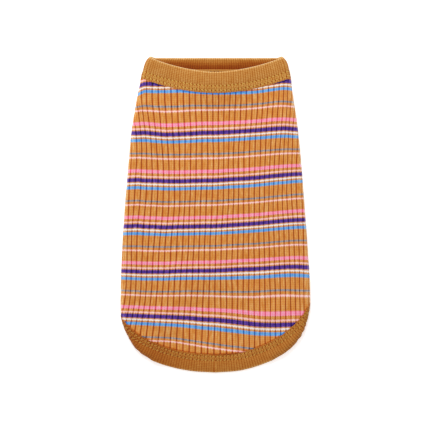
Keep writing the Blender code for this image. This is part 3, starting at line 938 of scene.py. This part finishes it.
# Added to the counts of wales and courses, so that none is below 0.
WALE_START, BAND_WALE_START, BAND_COURSE_START = 200.0, 1000.5, 100.0
STEP_SWAY = (0.5, -0.25)    # the mottle's scale and start, where it moves a stripe's edge
STREAK_SCALE = (2.6, 5.0)   # of the streaks, across a rib and down a repeat
UNEVEN_GROOVE = (1.8, 0.1)  # the streaks' scale and start, where they make a groove's painted shade uneven
# Dims the colour by this share of a groove's painted shade.
GROOVE_DIMMING = -0.07
# Painted shade between the two wales of a rib: from a wale's middle, where it begins and is whole.
BETWEEN_WALES = {"From_Min": 0.3, "From_Max": 0.5}
# Painted highlight along a band's free edge: from the edge, in millimetres, where it fades, and how
# much it lightens the colour.
EDGE_HIGHLIGHT = {"From_Min": 0.3, "From_Max": 1.6, "To_Min": -0.4, "To_Max": 0.0}
# Painted shade in a needle hole: from its middle, where it fades, and how much it deepens the
# colour.
NEEDLE_HOLE = {"From_Min": 0.4, "From_Max": 1.4, "To_Min": 0.75, "To_Max": 0.0}
HOLE_PITCH = 1.6 * STITCH_LENGTH    # from hole to hole, as the painted shade of a hole measures it
# The power of a yarn's colour where none of its parts deepens it.
KNIT_DEPTH, BAND_DEPTH, THREAD_DEPTH = 2.0, 1.56, 1.1


def set_inputs(node, inputs):
    """Give a node's inputs their values, or link them to the outputs of other nodes."""
    for key, value in inputs.items():
        if isinstance(value, bpy.types.NodeSocket):
            node.id_data.links.new(value, node.inputs[key])
        else:
            node.inputs[key].default_value = value


def add_node(tree, kind, *values, out=0, **settings):
    """Add a node with its settings and links, and return one of its outputs.

    A first value that is a word is the node's operation, and the others are its first inputs.
    A setting with a capital letter is the input of that name, with underscores for spaces.
    """
    node = tree.nodes.new("ShaderNode" + kind)
    if values and isinstance(values[0], str):
        node.operation, *values = values
    inputs = dict(enumerate(values))
    for key, value in settings.items():
        if key[0].isupper():
            inputs[key.replace("_", " ")] = value
        else:
            setattr(node, key, value)
    set_inputs(node, inputs)
    return node.outputs[out]


def start_material(name, finish):
    """Start a material with its matt shader, and a function that adds a node to it."""
    material = bpy.data.materials.new(name)
    material.use_nodes = True
    shader = material.node_tree.nodes["Principled BSDF"]
    set_inputs(shader, {"Roughness": finish.roughness, "Specular IOR Level": SPECULAR,
                        "Sheen Weight": finish.sheen, "Sheen Roughness": SHEEN_ROUGHNESS,
                        "Sheen Tint": (*finish.tint, 1.0)})
    return material, shader, partial(add_node, material.node_tree)


def stitch_height(add, wale, course):
    """Height of a knitted stitch, two legs that lean together, and distance from its middle."""
    from_middle = add("Math", "ABSOLUTE", add("Math", "SUBTRACT", add("Math", "FRACT", wale), 0.5))
    leaning = add("Math", "FRACT", add("Math", "ADD", course, from_middle))
    arches = []
    for at, scale in ((leaning, 2.0), (from_middle, 4.0)):
        off = add("Math", "MULTIPLY_ADD", at, scale, -1.0)
        arches.append(add("Math", "SUBTRACT", 1.0, add("Math", "MULTIPLY", off, off)))
    return add("Math", "MULTIPLY", *arches), from_middle


def fibre_noise(add, size):
    """Noise at a real size in millimetres, in the cloth's own space."""
    return add("TexNoise", Vector=add("TexCoord", out="Object"), Scale=1 / (size * MM),
               Detail=NOISE_DETAIL)


def finish_knit(add, shader, colour, depth, parts, height, dimming=1.0):
    """Paint shade and light into a yarn's colour by deepening and dimming it, and raise the
    stitches.

    The depth is a power of the colour. To it comes a share of each part.
    """
    for part, share in parts:
        depth = add("Math", "MULTIPLY_ADD", part, share, depth)
    deepened = add("Gamma", Color=colour, Gamma=depth)
    set_inputs(shader, {"Base Color": add("VectorMath", "SCALE", deepened, Scale=dimming),
                        "Normal": add("Bump", Height=height, **STITCH_BUMP)})


def striped_rib_knit():
    """Cotton and elastane wide rib, knitted with dyed yarns: matt, with a soft bloom.

    The stripes are whole rows of stitches, so that their edges step with the stitches. The grooves
    get painted shade: a deeper, dimmer colour, where light bounces between yarns of one colour.
    """
    material, shader, add = start_material("striped rib knit", KNIT)
    rib, repeat, groove, tucked = (add("Attribute", attribute_name=name, out="Fac")
                                   for name in ("rib", "repeat", "groove", "tucked"))
    wale = add("Math", "MULTIPLY_ADD", rib, 2.0, WALE_START)
    course = add("Math", "MULTIPLY", repeat, REPEAT_HEIGHT / COURSE_HEIGHT)
    height, from_middle = stitch_height(add, wale, course)
    mottle, fibres = fibre_noise(add, MOTTLE_SIZE), fibre_noise(add, FIBRE_SIZE)
    sway = add("Math", "MULTIPLY_ADD", mottle, *STEP_SWAY)
    step = add("Math", "MULTIPLY", add("Math", "ADD", from_middle, sway),
               0.5 * COURSE_HEIGHT / REPEAT_HEIGHT)
    phase = add("Math", "ADD", add("Math", "SUBTRACT", repeat, STRIPE_START), step)
    ramp = add("ValToRGB", Fac=add("Math", "FRACT", phase))
    fill_stripes(ramp.node.color_ramp)
    along = add("CombineXYZ", X=add("Math", "MULTIPLY", rib, STREAK_SCALE[0]),
                Y=add("Math", "MULTIPLY", repeat, STREAK_SCALE[1]))
    streaks = add("TexNoise", Vector=along, Scale=1.0, Detail=NOISE_DETAIL)
    # Painted shade in the grooves, made uneven by the streaks.
    painted_groove_shade = add("Math", "MULTIPLY", groove, add("Math", "MULTIPLY_ADD", streaks, *UNEVEN_GROOVE))
    between = add("MapRange", Value=from_middle, **BETWEEN_WALES)
    # Painted shade in the grooves, at the tucked ends and between wales; painted light on the
    # stitches' crowns. Mottle, streaks and fibres are the yarn's own uneven tone.
    parts = ((painted_groove_shade, 1.05), (tucked, 0.7), (between, 0.22), (height, -0.3), (mottle, -0.3),
             (streaks, -1.1), (fibres, -0.5))
    finish_knit(add, shader, ramp, KNIT_DEPTH, parts,
                add("Math", "MULTIPLY_ADD", fibres, FIBRE_BUMP, height),
                add("Math", "MULTIPLY_ADD", painted_groove_shade, GROOVE_DIMMING, 1.0))
    return material


def fill_stripes(ramp):
    """Set the colour stops of one repeat of the stripes, on the ochre ground."""
    colours = bpy.context.scene.tank_top_colours
    ground = (*colours.ochre, 1.0)
    ramp.interpolation = "LINEAR"
    ramp.elements[0].position, ramp.elements[1].position = 0.0, 1.0
    ramp.elements[0].color = ramp.elements[1].color = ground
    soft = STRIPE_SOFTNESS / REPEAT_HEIGHT
    for stripe in STRIPES:
        middle = (stripe.phase - STRIPE_START) % 1.0
        half = 0.5 * stripe.width / REPEAT_HEIGHT
        colour = (*getattr(colours, stripe.colour), 1.0)
        for place_at, shade in ((middle - half - soft, ground), (middle - half + soft, colour),
                                (middle + half - soft, colour), (middle + half + soft, ground)):
            ramp.elements.new(place_at).color = shade


def fine_rib_knit():
    """Folded cotton 1x1 rib of the bands: denser and a little duller than the striped knit."""
    material, shader, add = start_material("fine rib knit", BAND_KNIT)
    wale, distance, shade, from_edge, stitch, *rows = (
        add("Attribute", attribute_name=name, out="Fac")
        for name in ("wale", "distance", "shade", "from_edge", "stitch", "first_row", "second_row"))
    height, from_middle = stitch_height(
        add, add("Math", "ADD", wale, BAND_WALE_START),
        add("Math", "MULTIPLY_ADD", distance, 1 / COURSE_HEIGHT, BAND_COURSE_START))
    mottle, fibres = fibre_noise(add, BAND_MOTTLE_SIZE), fibre_noise(add, FIBRE_SIZE)
    # A painted highlight along the band's free edge.
    edge_highlight = add("MapRange", Value=from_edge, **EDGE_HIGHLIGHT)
    # Painted shade between wales, in the neck's opening, on the hem and the legs; painted light on
    # the stitches' crowns. Mottle and fibres are the yarn's own uneven tone.
    parts = [(from_middle, 1.0), (height, -0.45), (mottle, -0.4), (shade, 0.85), (edge_highlight, 1.0),
             (fibres, -0.8)]
    # Painted shade in the needle holes of each row.
    off_hole = add("Math", "PINGPONG", stitch, 0.5)
    for row in rows:
        off_row = add("Math", "ABSOLUTE", add("Math", "SUBTRACT", distance, row))
        off = add("Math", "MULTIPLY_ADD", off_hole, HOLE_PITCH, off_row)
        parts.append((add("MapRange", Value=off, **NEEDLE_HOLE), 1.0))
    finish_knit(add, shader, (*bpy.context.scene.tank_top_colours.band, 1.0), BAND_DEPTH, parts,
                add("Math", "MULTIPLY_ADD", fibres, FIBRE_BUMP, height))
    return material


def needle_thread():
    """Spun polyester sewing thread: yellower and a little glossier than the knit."""
    return thread_material("needle thread", NEEDLE, bpy.context.scene.tank_top_colours.thread)


def looper_thread():
    """Textured polyester looper thread, dyed like the bands: soft and matt."""
    return thread_material("looper thread", LOOPER, bpy.context.scene.tank_top_colours.looper)


def thread_material(name, finish, yarn):
    """A thread of one colour, with its twist as fine noise."""
    material, shader, add = start_material(name, finish)
    fibres = fibre_noise(add, TWIST_SIZE)
    finish_knit(add, shader, (*yarn, 1.0), THREAD_DEPTH, [(fibres, -0.4)], fibres)
    return material


def opal_acrylic():
    """Matt opal acrylic of a lit table: it glows a little, so that no shadow dulls its white."""
    material, shader, add = start_material("opal acrylic", ACRYLIC)
    grain = add("Bump", Height=fibre_noise(add, GRAIN_SIZE), **GRAIN_BUMP)
    floor = (*bpy.context.scene.tank_top_colours.floor, 1.0)
    set_inputs(shader, {"Base Color": floor, "Emission Color": WHITE,
                        "Emission Strength": TABLE_GLOW, "Normal": grain})
    return material



class TANKTOP_OT_back(bpy.types.Operator):
    """Make the back, whose ribs and stripes go round both folded sides"""

    bl_idname = "tanktop.back"
    bl_label = "Back"

    def execute(self, context):
        first, last = GROOVES[0].number, GROOVES[-1].number
        ribs = [i + share for i in range(first, last) for share in RIB_COLUMNS] + [last]
        flap = np.linspace(0.0, 1.0, FLAP_COLUMNS + 1)[1:]
        rib = np.concatenate([np.full(FLAP_COLUMNS, first), ribs, np.full(FLAP_COLUMNS, last)])
        share = np.concatenate([flap[::-1], np.zeros(len(ribs)), flap])
        side = side_of(rib)
        spread = 1.0 - np.abs(rib / last) ** 4
        lines = rib_lines(rib)

        def girth_at(y):
            start = lines(y) + spread * rib_drift(rib, y)
            room = girth_below(leg_edge(y, 1), y, side) - np.abs(start)
            return start + side * room * share

        def rib_at(girth, heights):
            start = np.abs(np.array([lines(y) for y in heights]))
            past = np.where(share > 0, (np.abs(girth) - start) / HIDDEN_RIB_PITCH, 0.0)
            return rib + side * past

        piece = make_panel("back_cloth", girth_at, rib_at, np.linspace(0.0, 1.0, len(rib)))
        finish_piece(piece, striped_rib_knit, "striped_knit", "back_panel")
        return {"FINISHED"}


class TANKTOP_OT_belly(bpy.types.Operator):
    """Make the belly, between the leg holes and down to the short hem"""

    bl_idname = "tanktop.belly"
    bl_label = "Belly"

    def execute(self, context):
        across = np.linspace(-1.0, 1.0, BELLY_COLUMNS + 1)
        side = side_of(across)

        def girth_at(y):
            return side * girth_below(np.abs(across) * leg_edge(y, -1), y, side)

        def rib_at(girth, y):
            from_middle = girth_below(0.0, y, side_of(girth)) - np.abs(girth)
            return side_of(girth) * from_middle / HIDDEN_RIB_PITCH

        piece = make_panel("belly_cloth", girth_at, rib_at, (across + 1) / 2)
        finish_piece(piece, striped_rib_knit, "striped_knit", "belly_panel")
        return {"FINISHED"}


class TANKTOP_OT_neck(bpy.types.Operator):
    """Make the folded neck band with its rows of stitches"""

    bl_idname = "tanktop.neck"
    bl_label = "Neck band"

    def execute(self, context):
        band = Band(NECK_LENGTH, NEEDLE_ROWS, BAND_WALL / 2, neck_width,
                    partial(band_point, neck_line), opening_shade)
        piece, threads = sew_band("neck", band, 1.0)
        lines = [ThreadLine(row, sway, 0.0, LOOPER_THICKNESS, True, NEEDLE_ROWS)
                 for row, sway in LOOPER_ROWS]
        looper = make_threads("neck_looper", lines, band)
        finish_piece(looper, looper_thread, "band_knit")
        return {"FINISHED"}


class TANKTOP_OT_hem(bpy.types.Operator):
    """Make the hem band, round the long back hem and the short belly hem"""

    bl_idname = "tanktop.hem"
    bl_label = "Hem band"

    def execute(self, context):
        length = hem_stations(-1)[2] + hem_stations(1)[2]
        band = Band(length, HEM_NEEDLE_ROWS, BAND_WALL / 2, hem_width,
                    partial(band_point, hem_line), hem_shade)
        piece, threads = sew_band("hem", band, PULLED_THREAD)
        return {"FINISHED"}


class TANKTOP_OT_legs(bpy.types.Operator):
    """Make the two leg bands, which lie on the underside"""

    bl_idname = "tanktop.legs"
    bl_label = "Leg bands"

    def execute(self, context):
        for word, side in (("_left", -1), ("_right", 1)):
            band = Band(LEG_LENGTH, LEG_NEEDLE_ROWS, WALL / 2, leg_width,
                        partial(leg_point, side), leg_shade)
            piece, threads = sew_band("leg", band, PULLED_THREAD, word)
        return {"FINISHED"}


FLOOR_SIZE = 6.0            # in metres
FLOOR_DROP = 0.3            # below the cloth, so that the two faces don't flicker
CAMERA_AT = (-0.34, -0.43)  # the middle of the picture, in millimetres
PICTURE_WIDTH = 366.2       # what the picture takes in, in millimetres
CLOTH_HEIGHT = 3.0          # height at which it is that wide
SENSOR = 36.0
WORLD_LIGHT = 0.565
LAMPS = make_table(
    "name place power size",
    ("top light", (-0.25, 0.95, 1.0), 13.6, 0.7),
    ("fill light", (-0.6, -1.2, 1.6), 3.4, 1.6),
)


class TANKTOP_OT_stage(bpy.types.Operator):
    """Make the lit table, the studio light and the camera straight above"""

    bl_idname = "tanktop.stage"
    bl_label = "Stage"

    def execute(self, context):
        deselect()
        bpy.ops.mesh.primitive_plane_add(size=FLOOR_SIZE, location=(0, 0, -FLOOR_DROP * MM))
        floor = context.object
        floor.name = "floor"
        floor.data.materials.append(opal_acrylic())
        world = bpy.data.worlds.new("studio")
        context.scene.world = world
        world.use_nodes = True
        set_inputs(world.node_tree.nodes["Background"], {"Color": WHITE, "Strength": WORLD_LIGHT})
        for lamp in LAMPS:
            bpy.ops.object.light_add(type="AREA", location=lamp.place)
            light = context.object
            light.name = lamp.name
            light.data.energy, light.data.size = lamp.power, lamp.size
            aim = light.location.normalized().to_track_quat("Z", "Y")
            light.rotation_euler = aim.to_euler()
        height = context.scene.tank_top_sizes.camera_height
        bpy.ops.object.camera_add(location=(CAMERA_AT[0] * MM, CAMERA_AT[1] * MM, height),
                                  rotation=(0.0, 0.0, 0.0))
        camera = context.object
        camera.data.sensor_width = SENSOR
        camera.data.lens = SENSOR * (height / MM - CLOTH_HEIGHT) / PICTURE_WIDTH
        context.scene.camera = camera
        context.scene.view_settings.view_transform = "Standard"
        return {"FINISHED"}


class TANKTOP_PT_panel(bpy.types.Panel):
    """Sizes, colours and steps of the tank top"""

    bl_idname = "TANKTOP_PT_panel"
    bl_label = "Dog Tank Top"
    bl_space_type = "VIEW_3D"
    bl_region_type = "UI"
    bl_category = "Tank Top"

    def draw(self, context):
        for group in (context.scene.tank_top_sizes, context.scene.tank_top_colours):
            for name in group.__annotations__:
                self.layout.prop(group, name)
        for step in STEPS:
            self.layout.operator(step.bl_idname)


STEPS = (TANKTOP_OT_belly, TANKTOP_OT_back, TANKTOP_OT_neck, TANKTOP_OT_hem, TANKTOP_OT_legs,
         TANKTOP_OT_stage)
CLASSES = (TankTopColours, TankTopSizes, *STEPS, TANKTOP_PT_panel)


def register():
    """Add the classes, and the sizes and colours to the scene."""
    for item in CLASSES:
        bpy.utils.register_class(item)
    bpy.types.Scene.tank_top_sizes = bpy.props.PointerProperty(type=TankTopSizes)
    bpy.types.Scene.tank_top_colours = bpy.props.PointerProperty(type=TankTopColours)


def unregister():
    """Take them away again."""
    del bpy.types.Scene.tank_top_colours
    del bpy.types.Scene.tank_top_sizes
    for item in reversed(CLASSES):
        bpy.utils.unregister_class(item)


def main():
    """Make every piece, then the stage."""
    register()
    for step in STEPS:
        getattr(bpy.ops.tanktop, step.bl_idname.partition(".")[2])()


if __name__ == "__main__":
    main()
